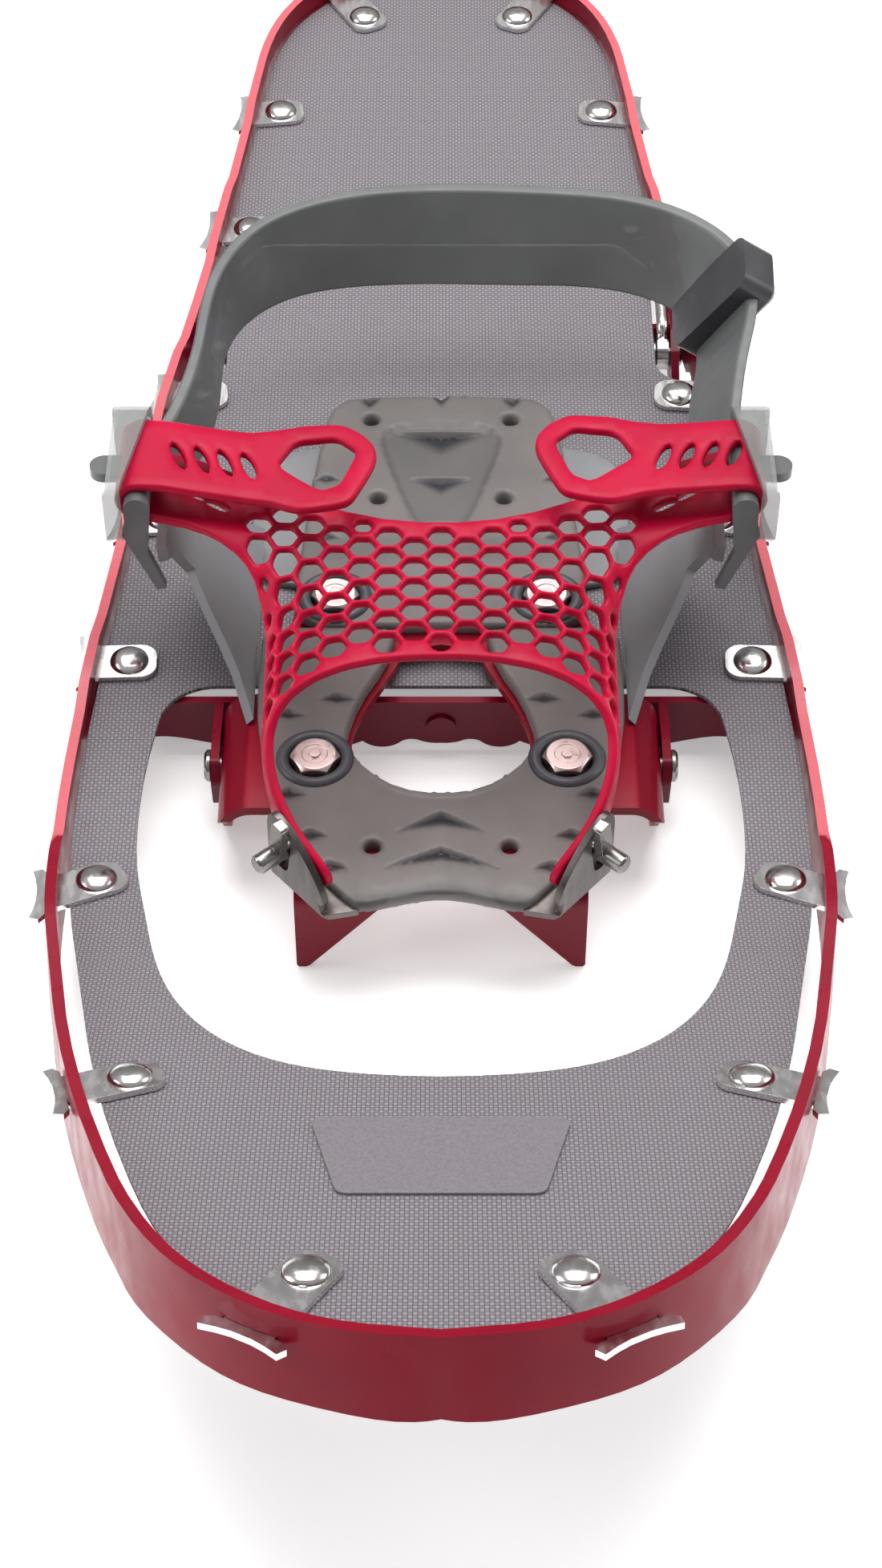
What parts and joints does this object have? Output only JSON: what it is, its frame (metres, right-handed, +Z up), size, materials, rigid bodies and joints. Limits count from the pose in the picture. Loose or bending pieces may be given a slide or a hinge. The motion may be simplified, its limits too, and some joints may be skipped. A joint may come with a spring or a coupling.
{
  "type": "snowshoe",
  "caption": "Snowshoe with an upright blade rail, a woven deck turned up at the toe, two toothed crossbars and a pivoting crampon binding with a strap net.",
  "frame": {"origin": "on the ground, at the middle of the shoe's length and width, where its crampon and crossbar points stand", "axes": "+X across the shoe to the wearer's right, +Y along it towards the tail, +Z up from the ground"},
  "size_m": [0.2114, 0.6351, 0.1103],
  "materials": {
    "frame_red": "satin anodised crimson",
    "deck_weave": "grey coated weave, satin",
    "clip_steel": "polished stainless strap",
    "rivet_steel": "satin stainless dome",
    "crossbar_red": "dark crimson anodised",
    "crampon_red": "satin crimson coating",
    "pin_steel": "satin steel",
    "bracket_steel": "satin stainless plate",
    "pad_grey": "translucent grey urethane, satin",
    "bolt_steel": "satin steel",
    "net_red": "translucent crimson urethane, glossy",
    "wing_grey": "translucent grey urethane, satin",
    "keeper_grey": "translucent grey plastic",
    "buckle_dark": "black moulded plastic",
    "lifter_wire": "dark satin wire",
    "patch_dark": "dark coated fabric, blank"
  },
  "bodies": {
    "frame": {"frame_rail": "frame_red", "deck": "deck_weave", "deck_clips": "clip_steel", "deck_rivets": "rivet_steel", "front_crossbar": "crossbar_red", "rear_crossbar": "crossbar_red", "crossbar_rivets": "rivet_steel", "lifter_pins": "pin_steel", "toe_patch": "patch_dark"},
    "binding": {"crampon": "crampon_red", "pivot_pins": "pin_steel", "toe_bracket_right": "bracket_steel", "toe_bracket_left": "bracket_steel", "forefoot_pad": "pad_grey", "heel_pad": "pad_grey", "pad_bolts": "bolt_steel", "pad_nuts": "bolt_steel", "forefoot_net": "net_red", "side_wing_right": "wing_grey", "side_wing_left": "wing_grey", "strap_post_right": "keeper_grey", "strap_post_left": "keeper_grey", "strap_keeper_right": "keeper_grey", "strap_keeper_left": "keeper_grey", "heel_strap": "wing_grey", "heel_buckle": "buckle_dark"},
    "lifter": {"heel_lifter": "lifter_wire"},
    "toe_pin_r": {"toe_pin_right": "pin_steel"},
    "toe_pin_l": {"toe_pin_left": "pin_steel"}
  },
  "joints": [
    {"name": "binding_pivot", "type": "hinge", "parent": "frame", "child": "binding", "pos_m": [0, -0.072, 0.017], "axis": [1, 0, 0], "range_deg": [0, 80]},
    {"name": "heel_lifter_hinge", "type": "hinge", "parent": "frame", "child": "lifter", "pos_m": [0, 0.105, 0.017], "axis": [1, 0, 0], "range_deg": [0, 90]},
    {"name": "toe_pin_right_turn", "type": "hinge", "parent": "binding", "child": "toe_pin_r", "pos_m": [0.04019, -0.12531, 0.043], "axis": [0.7539, -0.6569, 0], "range_deg": [0, 90]},
    {"name": "toe_pin_left_turn", "type": "hinge", "parent": "binding", "child": "toe_pin_l", "pos_m": [-0.04019, -0.12531, 0.043], "axis": [-0.7539, -0.6569, 0], "range_deg": [-90, 0]}
  ]
}
